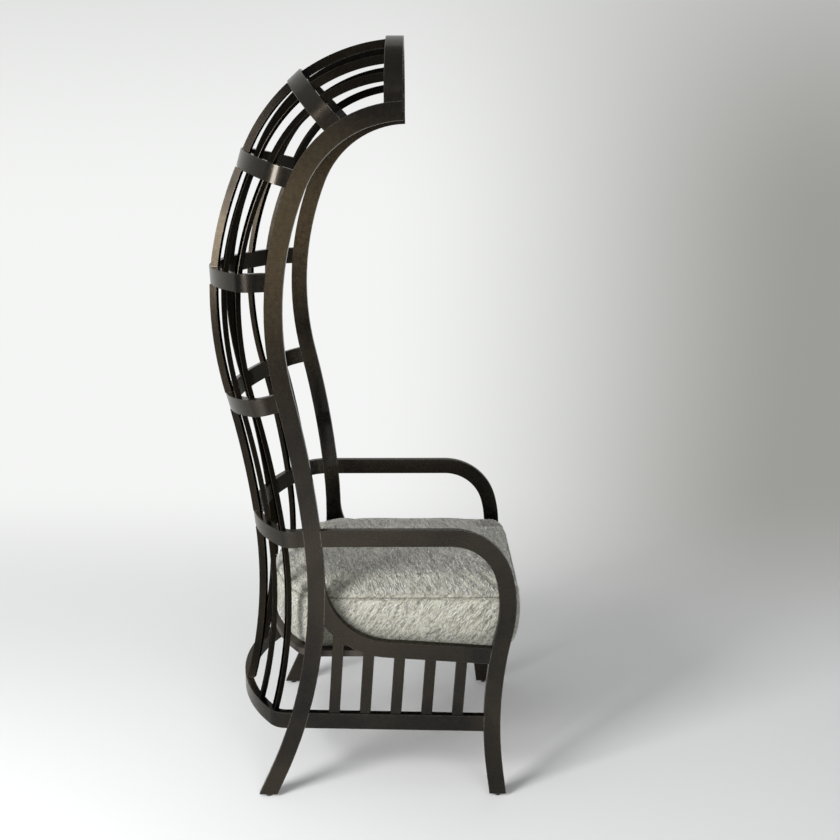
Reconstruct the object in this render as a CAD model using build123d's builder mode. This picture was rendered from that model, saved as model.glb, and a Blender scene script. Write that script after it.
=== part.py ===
from build123d import *
import os
from math import atan2, cos, degrees, radians, sin, sqrt, tan

os.makedirs("parts", exist_ok=True)

# Hooded porter chair in welded flat bar with a loose seat cushion.
# +Z is up, the chair faces -Y, and X runs across it. The sitter's right side is at -X.
# The origin is on the floor, at the middle of the chair's width and depth.

# Flat bar and overall width
chair_width = 600.0
bar_face = 39.0
bar_thickness = 18.0
edge_chamfer = 1.2

# Upright bars, from the front of the hood down the back to the floor.
# Each bend is a radius and the degrees that the bar turns in it.
hood_height = 1560.0
hood_pitch = 1.4
hood_bend_radius = 247.5
hood_bend_turn = 66.3
back_bend_radius = 735.0
back_bend_turn = 35.8
waist_bend_radius = 2282.0
waist_bend_turn = 8.5
leg_bend_radius = 1134.5
leg_bend_turn = 29.5

# Hoops, from the front arch of the hood down to the base.
# A hoop has two short legs, two tight corners and one long bow. The bow's depth is measured from
# the ends of the legs.
hoop_width = 39.5
hoop_bow_depth = 132.5
hoop_corner_radius = 50.0
arch_reach = 168.5
hood_hoop_reach = 171.5
crown_hoop_reach = 166.0
shoulder_hoop_reach = 179.5
back_hoop_reach = 171.5
arm_hoop_reach = 166.5
base_hoop_reach = 160.0
hood_hoop_height = 1517.5
crown_hoop_height = 1418.5
shoulder_hoop_height = 1210.5
back_hoop_height = 953.0
arm_hoop_height = 642.5
base_hoop_height = 197.5
arch_tilt = 90.0
hood_hoop_tilt = 48.0
crown_hoop_tilt = 17.0
shoulder_hoop_tilt = -2.0
back_hoop_tilt = -14.5
arm_hoop_tilt = -6.0

# Arms, each in one piece with a front leg
arm_height = 640.5
arm_straight = 310.0
arm_bend_radius = 123.0
arm_bend_turn = 75.0
knee_bend_radius = 281.0
knee_bend_turn = 28.0
foreleg_bend_radius = 978.0
foreleg_bend_turn = 20.5

# Side rails of the seat and of the base
rail_root_rise = 192.0
rail_bend_radius = 170.5
rail_root_turn = 28.0
seat_slope = 4.0
stretcher_slope = 1.3

# Side slats between the two rails
side_slat_count = 5
side_slat_width = 25.5
side_slat_thickness = 12.0
side_slat_pitch = 71.0
side_slat_first = 112.0

# Back slats between the hoops: distance from the hoops' sides, and how far the bar is turned
slat_width = 18.0
slat_thickness = 12.0
slat_chamfer = 1.0
inner_slat_inset = 188.0
middle_slat_inset = 87.0
outer_slat_inset = 26.0
inner_slat_turn = 18.0
middle_slat_turn = 80.0
outer_slat_turn = 70.0
hood_bay_count = 3
back_bay_count = 3

# Seat: cross rails, deck and cushion
cross_rail_height = 22.0
deck_underside = 349.0
deck_thickness = 15.0
deck_side_gap = 1.0
deck_inset = 6.0
cushion_gap = 0.3
cushion_side_gap = 3.0
cushion_overhang = 8.0
boxing_height = 122.0
crown_height = 34.0
hide_thickness = 3.0
cushion_front_corner = 40.0
cushion_rear_corner = 60.0
cushion_bow_ease = 2.0
cushion_back_gap = 17.0
boxing_level_shares = (0, 0.25, 0.55, 0.85, 1)
boxing_insets = (9.0, 2.0, 0.0, 2.0, 5.0)
crown_level_shares = (0, 0.3, 0.65, 0.9, 1)
crown_insets = (5.0, 14.0, 40.0, 80.0, 130.0)

# Deck screws
screw_count = 3
screw_pitch = 200.0
screw_radius = 2.5
screw_length = 35.0
screw_head_radius = 5.0
screw_head_angle = 90.0
screw_drive_radius = 1.6
screw_drive_depth = 1.8

# Feet: threaded glides in the ends of the legs
foot_height = 7.0
glide_radius = 6.0
glide_chamfer = 0.8
glide_stem_radius = 3.0
glide_stem_length = 14.0
glide_clearance = 0.08
glide_shoulder_gap = 0.3

half_width = chair_width / 2
bar_centre_x = (chair_width - bar_thickness) / 2
inner_face_x = half_width - bar_thickness
hoop_corner_x = half_width - hoop_corner_radius
hoop_bow_radius = (hoop_bow_depth**2 + hoop_corner_x**2 - hoop_corner_radius**2) / (
    2 * (hoop_bow_depth - hoop_corner_radius)
)
cushion_bow_radius = hoop_bow_radius - bar_thickness - cushion_bow_ease
rail_root_height = deck_underside + rail_root_rise


def heading_vector(heading):
    return cos(radians(heading)), sin(radians(heading))


def step(point, heading, distance):
    run, rise = heading_vector(heading)
    return point[0] + distance * run, point[1] + distance * rise


def bar_route(start, heading, pieces):
    """Places the straights and bends of a bar end to end in its side view.

    A piece is (radius, turn) for a bend, left turns positive, or (0, length) for a straight.
    """
    route = []
    for radius, amount in pieces:
        route.append((start, heading, radius, amount))
        if radius == 0:
            start = step(start, heading, amount)
            continue
        side = 90 if amount > 0 else -90
        centre = step(start, heading + side, radius)
        heading += amount
        start = step(centre, heading - side, radius)
    route.append((start, heading, 0, 0))
    return route


def leg_route(start, heading, pieces):
    """Places the pieces of a bar that ends as a leg, with a straight end that runs through the floor."""
    bends_end, end_heading, _, _ = bar_route(start, heading, pieces)[-1]
    drop = max(bends_end[1], 0) + bar_face
    return bar_route(start, heading, pieces + ((0, -drop / heading_vector(end_heading)[1]),))


def place_at_height(route, height):
    """Returns the depth and the heading of a bar's centre line at a height."""
    for (start, heading, radius, amount), (end, _, _, _) in zip(route, route[1:]):
        if not min(start[1], end[1]) <= height <= max(start[1], end[1]):
            continue
        if radius == 0:
            share = (height - start[1]) / (end[1] - start[1])
            return start[0] + share * (end[0] - start[0]), heading
        side = 90 if amount > 0 else -90
        centre = step(start, heading + side, radius)
        rise = height - centre[1]
        half_chord = sqrt(radius**2 - rise**2)
        across = half_chord if start[0] + end[0] > 2 * centre[0] else -half_chord
        direction = radians(degrees(atan2(rise, across)) + side)
        return centre[0] + across, degrees(atan2(sin(direction), cos(direction)))
    raise ValueError("no bar at this height")


def bar_outline(route, width):
    """Draws the side view of a bar of even width along its route."""
    with BuildSketch() as outline:
        with BuildLine():
            for side in (1, -1):
                for start, heading, radius, amount in route[:-1]:
                    edge_start = step(start, heading + 90 * side, width / 2)
                    if radius == 0:
                        Line(edge_start, step(edge_start, heading, amount))
                        continue
                    inward = side if amount > 0 else -side
                    JernArc(edge_start, heading_vector(heading), radius - inward * width / 2, amount)
            for start, heading, _, _ in (route[0], route[-1]):
                Line(step(start, heading + 90, width / 2), step(start, heading - 90, width / 2))
        make_face()
    return outline.sketch


def hoop_depth(reach, across, inset):
    """Depth of a hoop's line, inset from its outer face, at a distance from the middle."""
    meeting_x = hoop_corner_x * (hoop_bow_radius - inset) / (hoop_bow_radius - hoop_corner_radius)
    if across < meeting_x:
        return reach - hoop_bow_radius + sqrt((hoop_bow_radius - inset) ** 2 - across**2)
    from_corner = sqrt((hoop_corner_radius - inset) ** 2 - (across - hoop_corner_x) ** 2)
    return reach - hoop_bow_depth + from_corner


def hoop_outline(reach):
    """Draws a hoop seen square to its plane, with its depth along the sketch's Y."""
    corner_y = reach - hoop_bow_depth
    bow_y = reach - hoop_bow_radius
    meeting = degrees(atan2(corner_y - bow_y, hoop_corner_x))
    with BuildSketch() as outline:
        with BuildLine():
            for inset in (0, bar_thickness):
                bow_end = step((0, bow_y), meeting, hoop_bow_radius - inset)
                bend_middle = step((hoop_corner_x, corner_y), meeting / 2, hoop_corner_radius - inset)
                leg_x = half_width - inset
                ThreePointArc((-bow_end[0], bow_end[1]), (0, reach - inset), bow_end)
                for side in (1, -1):
                    bend_start = (side * bow_end[0], bow_end[1])
                    bend_end = (side * leg_x, corner_y)
                    ThreePointArc(bend_start, (side * bend_middle[0], bend_middle[1]), bend_end)
                    Line(bend_end, (side * leg_x, 0))
            for side in (1, -1):
                Line((side * half_width, 0), (side * inner_face_x, 0))
        make_face()
    return outline.sketch


# Side view of the uprights. The hood's front edge is first taken as depth zero, which gives the
# chair's front and rear limits, and then moved so that the origin lies midway between them.
stile_pieces = (
    (hood_bend_radius, -hood_bend_turn),
    (back_bend_radius, -back_bend_turn),
    (waist_bend_radius, waist_bend_turn),
    (leg_bend_radius, leg_bend_turn),
)
arm_pieces = (
    (0, arm_straight),
    (arm_bend_radius, arm_bend_turn),
    (knee_bend_radius, knee_bend_turn),
    (foreleg_bend_radius, -foreleg_bend_turn),
)


def side_routes(hood_front):
    uprights = leg_route((hood_front, hood_height), -hood_pitch, stile_pieces)
    arm_root = place_at_height(uprights, arm_height)[0]
    arms = leg_route((arm_root, arm_height), 180, arm_pieces)
    return uprights, arms


trial_stile, trial_arm = side_routes(0)
knee_start, knee_heading, _, _ = trial_arm[2]
knee_centre = step(knee_start, knee_heading + 90, knee_bend_radius)
arm_front = knee_centre[0] - knee_bend_radius - bar_face / 2
chair_front = arm_front - cushion_overhang
shoulder_y = place_at_height(trial_stile, shoulder_hoop_height)[0]
shoulder_run, shoulder_rise = heading_vector(shoulder_hoop_tilt)
chair_rear = shoulder_y + shoulder_hoop_reach * shoulder_run + hoop_width / 2 * abs(shoulder_rise)
hood_front_y = -(chair_front + chair_rear) / 2
stile_route, arm_route = side_routes(hood_front_y)
front_y = chair_front + hood_front_y

# Uprights
stiles = {}
for side_name, side in (("right", -1), ("left", 1)):
    with BuildPart() as stile:
        with BuildSketch(Plane.YZ.offset(side * bar_centre_x)):
            add(bar_outline(stile_route, bar_face))
        extrude(amount=bar_thickness / 2, both=True)
        chamfer(stile.faces().filter_by(Axis.X).edges(), edge_chamfer)
        split(bisect_by=Plane.XY.offset(foot_height), keep=Keep.TOP)
        rear_foot_y = stile.faces().sort_by(Axis.Z)[0].center().Y
        with Locations((side * bar_centre_x, rear_foot_y, foot_height)):
            Hole(glide_stem_radius + glide_clearance, depth=glide_stem_length + glide_clearance)
    stile.part.label = f"{side_name}_stile"
    export_step(stile.part, f"parts/{side_name}_stile.step")
    stiles[side] = stile.part

# Arms with their front legs
front_legs = {}
for side_name, side in (("right", -1), ("left", 1)):
    with BuildPart() as arm:
        with BuildSketch(Plane.YZ.offset(side * bar_centre_x)):
            add(bar_outline(arm_route, bar_face))
        extrude(amount=bar_thickness / 2, both=True)
        chamfer(arm.faces().filter_by(Axis.X).edges(), edge_chamfer)
        split(bisect_by=Plane.XY.offset(foot_height), keep=Keep.TOP)
        add(stiles[side], mode=Mode.SUBTRACT)
        front_foot_y = arm.faces().sort_by(Axis.Z)[0].center().Y
        with Locations((side * bar_centre_x, front_foot_y, foot_height)):
            Hole(glide_stem_radius + glide_clearance, depth=glide_stem_length + glide_clearance)
    arm.part.label = f"{side_name}_arm_and_front_leg"
    export_step(arm.part, f"parts/{side_name}_arm_and_front_leg.step")
    front_legs[side] = arm.part

# Seat side rails. Each one leaves the front edge of the upright along a bend and then runs
# forward, falling a little, into the front leg.
root_y, root_heading = place_at_height(stile_route, rail_root_height)
root_top = step((root_y, rail_root_height), root_heading - 90, bar_face / 2)
rail_centre = step(root_top, root_heading - 90, rail_bend_radius - bar_face / 2)
rail_heading = seat_slope - 180
rail_top_turn = root_heading - rail_heading
top_bend_end = step(rail_centre, rail_heading + 90, rail_bend_radius - bar_face / 2)
lower_bend_end = step(rail_centre, rail_heading + 90, rail_bend_radius + bar_face / 2)
lower_bend_start = step(rail_centre, root_heading + 90 - rail_root_turn, rail_bend_radius + bar_face / 2)
front_leg_y = place_at_height(arm_route, lower_bend_end[1])[0]
rail_run = (top_bend_end[0] - front_leg_y) / cos(radians(seat_slope))
seat_rails = {}
for side_name, side in (("right", -1), ("left", 1)):
    with BuildPart() as seat_rail:
        with BuildSketch(Plane.YZ.offset(side * bar_centre_x)):
            with BuildLine():
                JernArc(root_top, heading_vector(root_heading), rail_bend_radius - bar_face / 2, -rail_top_turn)
                Line(top_bend_end, step(top_bend_end, rail_heading, rail_run))
                Line(step(top_bend_end, rail_heading, rail_run), step(lower_bend_end, rail_heading, rail_run))
                Line(step(lower_bend_end, rail_heading, rail_run), lower_bend_end)
                JernArc(
                    lower_bend_end,
                    heading_vector(rail_heading + 180),
                    rail_bend_radius + bar_face / 2,
                    rail_top_turn - rail_root_turn,
                )
                Line(lower_bend_start, root_top)
            make_face()
        extrude(amount=bar_thickness / 2, both=True)
        chamfer(seat_rail.faces().filter_by(Axis.X).edges(), edge_chamfer)
        add(stiles[side], mode=Mode.SUBTRACT)
        add(front_legs[side], mode=Mode.SUBTRACT)
    seat_rail.part.label = f"{side_name}_seat_rail"
    export_step(seat_rail.part, f"parts/{side_name}_seat_rail.step")
    seat_rails[side] = seat_rail.part

# Base side rails, level with the base hoop at the rear
base_y, base_heading = place_at_height(stile_route, base_hoop_height)
base_leg_y = place_at_height(arm_route, base_hoop_height)[0]
base_rail_length = (base_y - base_leg_y) / cos(radians(stretcher_slope))
base_rail_route = bar_route((base_y, base_hoop_height), 180 + stretcher_slope, ((0, base_rail_length),))
base_rails = {}
for side_name, side in (("right", -1), ("left", 1)):
    with BuildPart() as base_rail:
        with BuildSketch(Plane.YZ.offset(side * bar_centre_x)):
            add(bar_outline(base_rail_route, bar_face))
        extrude(amount=bar_thickness / 2, both=True)
        chamfer(base_rail.faces().filter_by(Axis.X).edges(), edge_chamfer)
        add(stiles[side], mode=Mode.SUBTRACT)
        add(front_legs[side], mode=Mode.SUBTRACT)
    base_rail.part.label = f"{side_name}_base_rail"
    export_step(base_rail.part, f"parts/{side_name}_base_rail.step")
    base_rails[side] = base_rail.part

# Side slats, square to the seat rail, counted from the rear
slat_heading = -90 + seat_slope
slat_drop = lower_bend_end[1] - base_hoop_height
for side_name, side in (("right", -1), ("left", 1)):
    for number in range(side_slat_count):
        behind = side_slat_first - number * side_slat_pitch
        rail_rise = rail_bend_radius - sqrt(rail_bend_radius**2 - behind**2) if behind > 0 else 0
        head_rise = rail_rise + bar_face / 2
        head = step(step(lower_bend_end, rail_heading, -behind), slat_heading + 180, head_rise)
        side_slat_route = bar_route(head, slat_heading, ((0, slat_drop + head_rise),))
        with BuildPart() as side_slat:
            with BuildSketch(Plane.YZ.offset(side * bar_centre_x)):
                add(bar_outline(side_slat_route, side_slat_width))
            extrude(amount=side_slat_thickness / 2, both=True)
            chamfer(side_slat.faces().filter_by(Axis.X).edges(), edge_chamfer)
            add(seat_rails[side], mode=Mode.SUBTRACT)
            add(base_rails[side], mode=Mode.SUBTRACT)
        slat_name = f"{side_name}_side_slat_{number + 1}"
        side_slat.part.label = slat_name
        export_step(side_slat.part, f"parts/{slat_name}.step")

# Hoops: name, height and tilt of the plane where it meets the uprights, and reach
hoops = (
    ("hood_front_arch", hood_height, arch_tilt, arch_reach),
    ("hood_hoop", hood_hoop_height, hood_hoop_tilt, hood_hoop_reach),
    ("crown_hoop", crown_hoop_height, crown_hoop_tilt, crown_hoop_reach),
    ("shoulder_hoop", shoulder_hoop_height, shoulder_hoop_tilt, shoulder_hoop_reach),
    ("back_hoop", back_hoop_height, back_hoop_tilt, back_hoop_reach),
    ("arm_hoop", arm_hoop_height, arm_hoop_tilt, arm_hoop_reach),
    ("base_hoop", base_hoop_height, 0, base_hoop_reach),
)
hoop_planes = []
hoop_headings = []
for name, height, tilt, reach in hoops:
    if name == "hood_front_arch":
        hoop_y = hood_front_y + hoop_width / 2
        hoop_heading = -hood_pitch
    else:
        hoop_y, hoop_heading = place_at_height(stile_route, height)
    run, rise = heading_vector(tilt)
    hoop_plane = Plane(origin=(0, hoop_y, height), x_dir=(1, 0, 0), z_dir=(0, -rise, run))
    with BuildPart() as hoop:
        with BuildSketch(hoop_plane):
            add(hoop_outline(reach))
        extrude(amount=hoop_width / 2, both=True)
        chamfer(hoop.faces().filter_by(hoop_plane).edges(), edge_chamfer)
        add(stiles[-1], mode=Mode.SUBTRACT)
        add(stiles[1], mode=Mode.SUBTRACT)
    hoop.part.label = name
    export_step(hoop.part, f"parts/{name}.step")
    hoop_planes.append(hoop_plane)
    hoop_headings.append(hoop_heading)

# Back slats. Each column is cut into lengths that fit between the hoops and bend with the uprights.
columns = (
    ("inner", inner_slat_inset, inner_slat_turn),
    ("middle", middle_slat_inset, middle_slat_turn),
    ("outer", outer_slat_inset, outer_slat_turn),
)


def slat_length(upper_plane, lower_plane, upper, lower, bend, turn):
    """Bends one slat between two hoops and trims it square to their edges."""
    chord = lower - upper
    outward = chord.normalized().cross(Vector(1, 0, 0))
    middle = (upper + lower) / 2 + outward * (chord.length / 2 * tan(radians(bend / 4)))
    with BuildPart() as slat:
        with BuildLine() as slat_line:
            ThreePointArc(upper, middle, lower)
        slat_plane = Plane(origin=upper, x_dir=(1, 0, 0), z_dir=slat_line.line % 0)
        with BuildSketch(slat_plane.rotated((0, 0, turn))):
            Rectangle(slat_thickness, slat_width)
            chamfer(vertices(), slat_chamfer)
        sweep(path=slat_line.line)
        split(bisect_by=upper_plane.offset(-hoop_width / 2), keep=Keep.BOTTOM)
        split(bisect_by=lower_plane.offset(hoop_width / 2), keep=Keep.TOP)
    return slat.part


for side_name, side in (("right", -1), ("left", 1)):
    for column_name, slat_inset, turn in columns:
        place = half_width - slat_inset
        centres = []
        for (_, _, _, reach), plane in zip(hoops, hoop_planes):
            depth = hoop_depth(reach, place, bar_thickness / 2)
            centres.append(plane.origin + plane.y_dir * depth + Vector(side * place, 0, 0))
        for run_name, first, count in (
            ("hood_slats", 0, hood_bay_count),
            ("back_slats", hood_bay_count, back_bay_count),
        ):
            with BuildPart() as slats:
                for bay in range(first, first + count):
                    bend = hoop_headings[bay + 1] - hoop_headings[bay]
                    ends = (hoop_planes[bay], hoop_planes[bay + 1], centres[bay], centres[bay + 1])
                    add(slat_length(*ends, bend, side * turn))
            slat_node = f"{side_name}_{column_name}_{run_name}"
            slats.part.label = slat_node
            export_step(slats.part, f"parts/{slat_node}.step")

# Cross rails under the deck, between the legs
cross_rails = []
cross_rail_places = []
for name, route in (("front_cross_rail", arm_route), ("rear_cross_rail", stile_route)):
    cross_rail_z = deck_underside - cross_rail_height / 2
    cross_rail_y = place_at_height(route, cross_rail_z)[0]
    screw_top = deck_underside + deck_thickness
    with BuildPart() as cross_rail:
        with Locations((0, cross_rail_y, cross_rail_z)):
            Box(2 * inner_face_x, bar_thickness, cross_rail_height)
        chamfer(cross_rail.edges().filter_by(Axis.X), edge_chamfer)
        with Locations(Plane((0, cross_rail_y, deck_underside))):
            with GridLocations(screw_pitch, 0, screw_count, 1):
                Hole(screw_radius, depth=screw_length - deck_thickness)
    cross_rail.part.label = name
    export_step(cross_rail.part, f"parts/{name}.step")
    cross_rail_places.append(cross_rail_y)


def seat_outline(inset, front, bow_top, front_corner):
    """Draws the seat's plan: a straight front and sides, and a bowed back between round corners."""
    side_x = inner_face_x - inset
    bow_radius = cushion_bow_radius - inset
    bow_y = bow_top - cushion_bow_radius
    rear_x = side_x - cushion_rear_corner
    rear_y = bow_y + sqrt((bow_radius - cushion_rear_corner) ** 2 - rear_x**2)
    meeting = degrees(atan2(rear_y - bow_y, rear_x))
    bow_end = step((0, bow_y), meeting, bow_radius)
    rear_middle = step((rear_x, rear_y), meeting / 2, cushion_rear_corner)
    front_x = side_x - front_corner
    front_middle = step((front_x, front + front_corner), -45, front_corner)
    with BuildSketch() as outline:
        with BuildLine():
            ThreePointArc((-bow_end[0], bow_end[1]), (0, bow_y + bow_radius), bow_end)
            for side in (1, -1):
                rear_start = (side * bow_end[0], bow_end[1])
                ThreePointArc(rear_start, (side * rear_middle[0], rear_middle[1]), (side * side_x, rear_y))
                Line((side * side_x, rear_y), (side * side_x, front + front_corner))
                ThreePointArc(
                    (side * side_x, front + front_corner),
                    (side * front_middle[0], front_middle[1]),
                    (side * front_x, front),
                )
            Line((-front_x, front), (front_x, front))
        make_face()
    return outline.sketch


# Seat deck, screwed down on the cross rails
seat_back_y = place_at_height(stile_route, arm_height)[0] + arm_hoop_reach - bar_thickness - cushion_back_gap
deck_front = cross_rail_places[0] - bar_thickness / 2
with BuildPart() as deck:
    with BuildSketch(Plane.XY.offset(deck_underside)):
        add(seat_outline(deck_side_gap, deck_front, seat_back_y - deck_inset, cushion_front_corner))
    extrude(amount=deck_thickness)
    for cross_rail_y in cross_rail_places:
        with Locations(Plane((0, cross_rail_y, screw_top))):
            with GridLocations(screw_pitch, 0, screw_count, 1):
                CounterSinkHole(screw_radius, screw_head_radius, counter_sink_angle=screw_head_angle)
deck.part.label = "seat_deck"
export_step(deck.part, "parts/seat_deck.step")

# Countersunk deck screws
head_height = (screw_head_radius - screw_radius) / tan(radians(screw_head_angle / 2))
with BuildPart() as screws:
    for cross_rail_y in cross_rail_places:
        with Locations(Plane((0, cross_rail_y, screw_top))):
            with GridLocations(screw_pitch, 0, screw_count, 1):
                Cylinder(screw_radius, screw_length, align=(Align.CENTER, Align.CENTER, Align.MAX))
                Cone(
                    screw_radius,
                    screw_head_radius,
                    head_height,
                    align=(Align.CENTER, Align.CENTER, Align.MAX),
                )
                Hole(screw_drive_radius, depth=screw_drive_depth)
screws.part.label = "deck_screws"
export_step(screws.part, "parts/deck_screws.step")

# Cushion: a boxed foam block in a hide cover. Its boxing swells between the seams, and its top is
# crowned. Each level is a share of the height, and its inset is from the cushion's widest outline.
cushion_base = deck_underside + deck_thickness + cushion_gap


def cushion_block(skin):
    """Lofts the boxing and the crown, drawn in all round by the thickness of a skin."""
    boxing = boxing_height - skin
    levels = (
        (cushion_base + skin, boxing, boxing_level_shares, boxing_insets),
        (cushion_base + boxing_height, crown_height - skin, crown_level_shares, crown_insets),
    )
    with BuildPart() as block:
        for base, rise, shares, insets in levels:
            with BuildPart() as layer:
                for share, inset in zip(shares, insets):
                    edge = cushion_side_gap + skin + inset
                    with BuildSketch(Plane.XY.offset(base + share * rise)):
                        add(seat_outline(edge, front_y + skin + inset, seat_back_y, cushion_front_corner))
                loft()
            add(layer.part)
    return block.part


foam = cushion_block(hide_thickness)
foam.label = "cushion_foam"
export_step(foam, "parts/cushion_foam.step")

with BuildPart() as cover:
    add(cushion_block(0))
    add(foam, mode=Mode.SUBTRACT)
cover.part.label = "cushion_cover"
export_step(cover.part, "parts/cushion_cover.step")

# Glides: a turned pad on a threaded stem, screwed up into each leg
for side_name, side in (("right", -1), ("left", 1)):
    for place_name, foot_y in (("front", front_foot_y), ("rear", rear_foot_y)):
        with BuildPart() as glide:
            with Locations((side * bar_centre_x, foot_y, 0)):
                Cylinder(
                    glide_radius,
                    foot_height - glide_shoulder_gap,
                    align=(Align.CENTER, Align.CENTER, Align.MIN),
                )
                chamfer(glide.edges().filter_by(GeomType.CIRCLE), glide_chamfer)
                Cylinder(
                    glide_stem_radius,
                    foot_height + glide_stem_length,
                    align=(Align.CENTER, Align.CENTER, Align.MIN),
                )
        glide_name = f"{side_name}_{place_name}_glide"
        glide.part.label = glide_name
        export_step(glide.part, f"parts/{glide_name}.step")
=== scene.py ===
import math

import bmesh
import bpy
from mathutils import Matrix, Vector


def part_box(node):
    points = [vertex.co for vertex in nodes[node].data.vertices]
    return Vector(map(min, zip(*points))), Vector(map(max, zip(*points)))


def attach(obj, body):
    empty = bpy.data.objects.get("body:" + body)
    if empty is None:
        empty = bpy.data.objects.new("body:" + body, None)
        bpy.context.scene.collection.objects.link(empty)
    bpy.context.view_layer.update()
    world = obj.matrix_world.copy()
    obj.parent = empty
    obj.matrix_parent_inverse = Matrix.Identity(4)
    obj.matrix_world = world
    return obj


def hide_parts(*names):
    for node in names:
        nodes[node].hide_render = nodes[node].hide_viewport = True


# Hooded porter chair in bronzed flat bar, with a hair-on hide cushion.
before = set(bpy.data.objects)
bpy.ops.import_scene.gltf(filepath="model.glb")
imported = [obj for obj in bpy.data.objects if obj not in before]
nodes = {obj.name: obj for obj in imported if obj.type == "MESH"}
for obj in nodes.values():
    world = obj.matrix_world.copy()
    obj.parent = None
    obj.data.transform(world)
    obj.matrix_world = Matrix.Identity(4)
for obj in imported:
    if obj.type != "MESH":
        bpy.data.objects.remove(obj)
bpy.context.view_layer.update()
scene = bpy.context.scene


# Small helpers for meshes and nodes
def newObject(name, mesh):
    made = bpy.data.objects.new(name, mesh)
    scene.collection.objects.link(made)
    return made


def meshFrom(work, name):
    mesh = bpy.data.meshes.new(name)
    work.to_mesh(mesh)
    work.free()
    return mesh


def addNode(tree, kind, inputs=None, **settings):
    made = tree.nodes.new(kind)
    for key, value in settings.items():
        setattr(made, key, value)
    for key, value in (inputs or {}).items():
        made.inputs[key].default_value = value
    return made


def newGroup(name, inputs, outputs):
    tree = bpy.data.node_groups.new(name, "ShaderNodeTree")
    for socketName, kind, value in inputs:
        socket = tree.interface.new_socket(name=socketName, in_out="INPUT", socket_type=kind)
        socket.default_value = value
    for socketName, kind in outputs:
        tree.interface.new_socket(name=socketName, in_out="OUTPUT", socket_type=kind)
    return tree, addNode(tree, "NodeGroupInput"), addNode(tree, "NodeGroupOutput")


def newMaterial(name):
    material = bpy.data.materials.new(name)
    material.use_nodes = True
    tree = material.node_tree
    shader = tree.nodes["Principled BSDF"]
    return material, tree, shader


def placeGroup(tree, group, inputs=None):
    made = addNode(tree, "ShaderNodeGroup", node_tree=group)
    for key, value in (inputs or {}).items():
        made.inputs[key].default_value = value
    return made


def mixColours(tree, factor, first, second, blend="MIX"):
    made = addNode(tree, "ShaderNodeMix", data_type="RGBA", blend_type=blend)
    sockets = (made.inputs[0], made.inputs[6], made.inputs[7])
    for socket, value in zip(sockets, (factor, first, second)):
        if isinstance(value, bpy.types.NodeSocket):
            tree.links.new(value, socket)
        else:
            socket.default_value = value
    return made.outputs[2]


def doMath(tree, operation, *values):
    made = addNode(tree, "ShaderNodeMath", operation=operation)
    for socket, value in zip(made.inputs, values):
        if isinstance(value, bpy.types.NodeSocket):
            tree.links.new(value, socket)
        else:
            socket.default_value = value
    return made.outputs[0]


def mapRange(tree, value, low, high, toLow=0.0, toHigh=1.0):
    made = addNode(tree, "ShaderNodeMapRange", {1: low, 2: high, 3: toLow, 4: toHigh})
    tree.links.new(value, made.inputs[0])
    return made.outputs[0]


# Camera, at the photograph's angle
camera = {
    "place": (-2.7186, -0.1156, 1.5062),
    "pitch": 13.784,  # degrees below the horizon
    "yaw": 0.353,  # degrees towards the chair's front
    "focalLength": 49.286,
}


def makeCamera():
    data = bpy.data.cameras.new("camera")
    data.lens = camera["focalLength"]
    made = bpy.data.objects.new("camera", data)
    scene.collection.objects.link(made)
    pitch, yaw = math.radians(camera["pitch"]), math.radians(camera["yaw"])
    forward = Vector((math.cos(pitch) * math.cos(yaw), -math.cos(pitch) * math.sin(yaw), -math.sin(pitch)))
    made.location = camera["place"]
    made.rotation_mode = "QUATERNION"
    made.rotation_quaternion = forward.to_track_quat("-Z", "Y")
    scene.camera = made


makeCamera()
print("camera placed")

# Floor and backdrop: one sheet that turns up in a wide curve behind the chair
stage = {
    "near": -9.0,
    "far": 4.2,
    "halfWidth": 18.0,
    "turnRadius": 2.0,
    "wallHeight": 5.0,
    "turnSteps": 16,
    "floorColour": (0.86, 0.865, 0.86, 1),
    "roughness": 0.9,
    "shine": 0.1,
    "paintedLitTone": (0.905, 0.915, 0.905, 1),
    "paintedShadeTone": (0.335, 0.338, 0.315, 1),
    "high": (0.62, 0.625, 0.62, 1),
    "fanFoot": 2.72,  # metres in front of the chair, from where the painted light falloff fans out
    "brightFrom": (-0.371, 0.039),  # metres across per metre from the fan's foot
    "highFrom": (0.8, 4.2),  # metres above the floor, over which it falls to a middle tone
    "wallFrom": (0.2, 2.2),  # metres behind the chair, over which the floor fades into the backdrop
}


def makeStage():
    work = bmesh.new()
    ends = [work.verts.new((stage["near"], side * stage["halfWidth"], 0)) for side in (1, -1)]
    rail = [work.edges.new(ends)]
    grown = bmesh.ops.extrude_edge_only(work, edges=rail)["geom"]
    moved = [item for item in grown if isinstance(item, bmesh.types.BMVert)]
    rail = [item for item in grown if isinstance(item, bmesh.types.BMEdge)]
    bmesh.ops.translate(work, verts=moved, vec=(stage["far"] - stage["near"], 0, 0))
    grown = bmesh.ops.spin(
        work,
        geom=rail,
        cent=(stage["far"], 0, stage["turnRadius"]),
        axis=(0, -1, 0),
        dvec=(0, 0, 0),
        angle=math.pi / 2,
        steps=stage["turnSteps"],
    )["geom_last"]
    rail = [item for item in grown if isinstance(item, bmesh.types.BMEdge)]
    grown = bmesh.ops.extrude_edge_only(work, edges=rail)["geom"]
    moved = [item for item in grown if isinstance(item, bmesh.types.BMVert)]
    bmesh.ops.translate(work, verts=moved, vec=(0, 0, stage["wallHeight"]))
    bmesh.ops.recalc_face_normals(work, faces=work.faces)
    made = newObject("backdrop", meshFrom(work, "backdrop"))
    for face in made.data.polygons:
        face.use_smooth = True
    made.data.materials.append(makeStageMaterial())
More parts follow.
